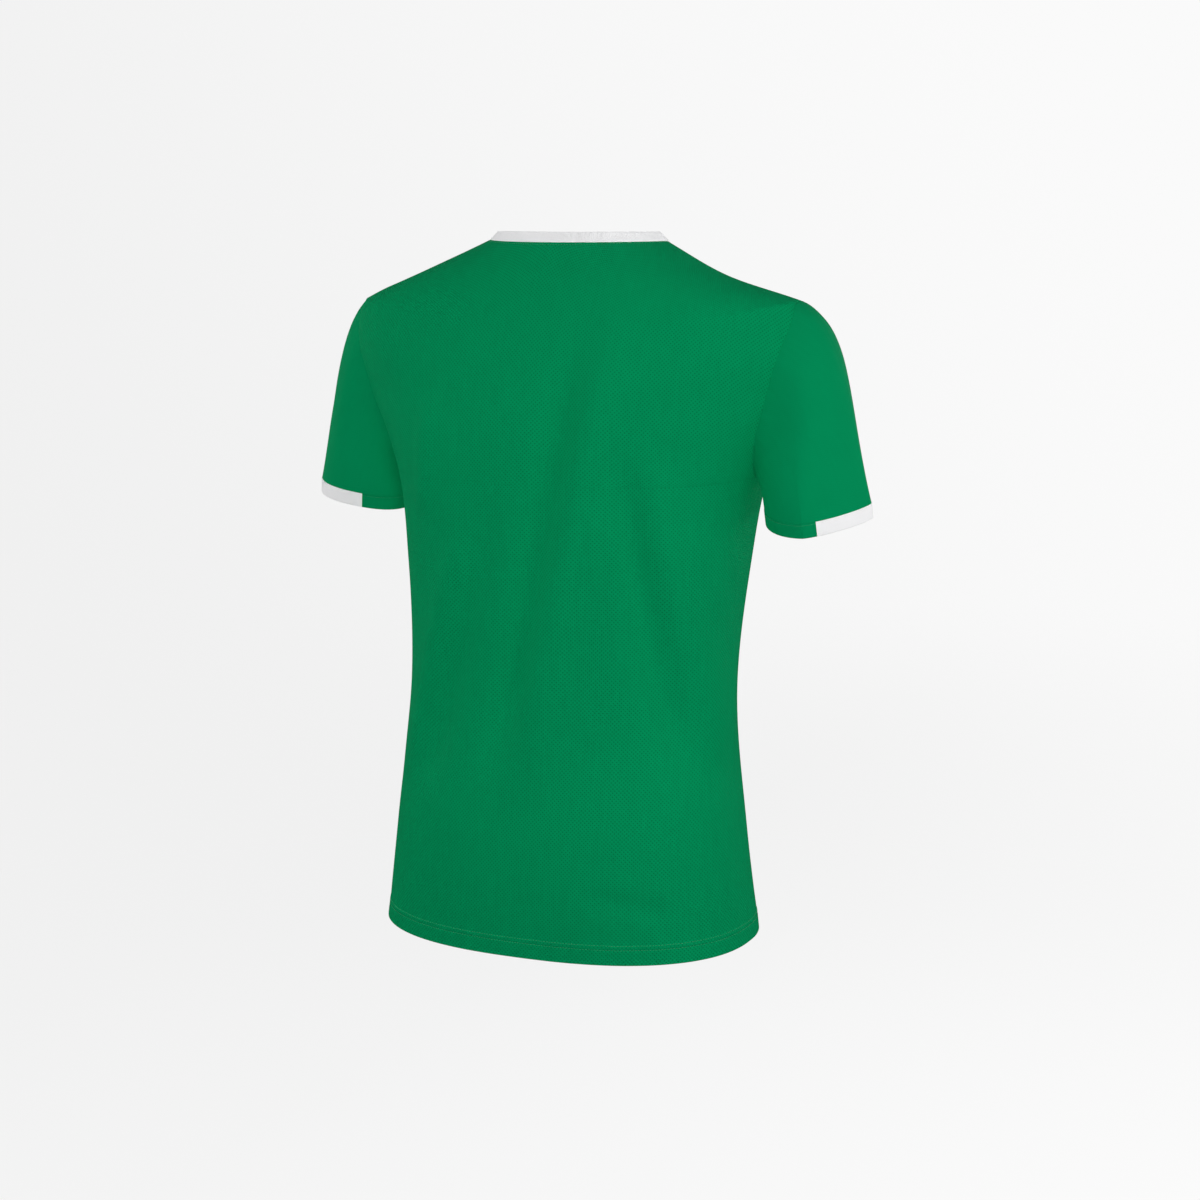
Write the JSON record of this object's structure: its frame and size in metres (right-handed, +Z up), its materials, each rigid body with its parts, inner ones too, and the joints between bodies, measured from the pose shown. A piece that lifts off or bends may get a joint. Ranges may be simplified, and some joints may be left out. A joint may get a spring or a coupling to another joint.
{
  "type": "football jersey",
  "caption": "Short-sleeved football jersey in the hollow form it takes when worn, with a ribbed crew neck, set-in sleeves, part-white cuff bands and a turned hem.",
  "frame": {"origin": "centre of the neck opening, at the height of the side neck points, where the wearer's neck and shoulders hold the jersey", "axes": "+Z up, -Y the way the wearer faces, +X towards the wearer's left sleeve"},
  "size_m": [0.6115, 0.2826, 0.7187],
  "materials": {
    "eyelet_knit": "matt polyester eyelet knit, green",
    "plain_knit": "smooth polyester plain knit, green",
    "white_rib": "fine white rib knit",
    "white_cuff": "smooth white knit"
  },
  "bodies": {
    "root": {"back_panel": "eyelet_knit", "front_panel": "eyelet_knit", "collar": "white_rib", "sleeve_left": "plain_knit", "sleeve_right": "plain_knit", "cuff_green_left": "plain_knit", "cuff_green_right": "plain_knit", "cuff_white_left": "white_cuff", "cuff_white_right": "white_cuff"}
  },
  "joints": []
}
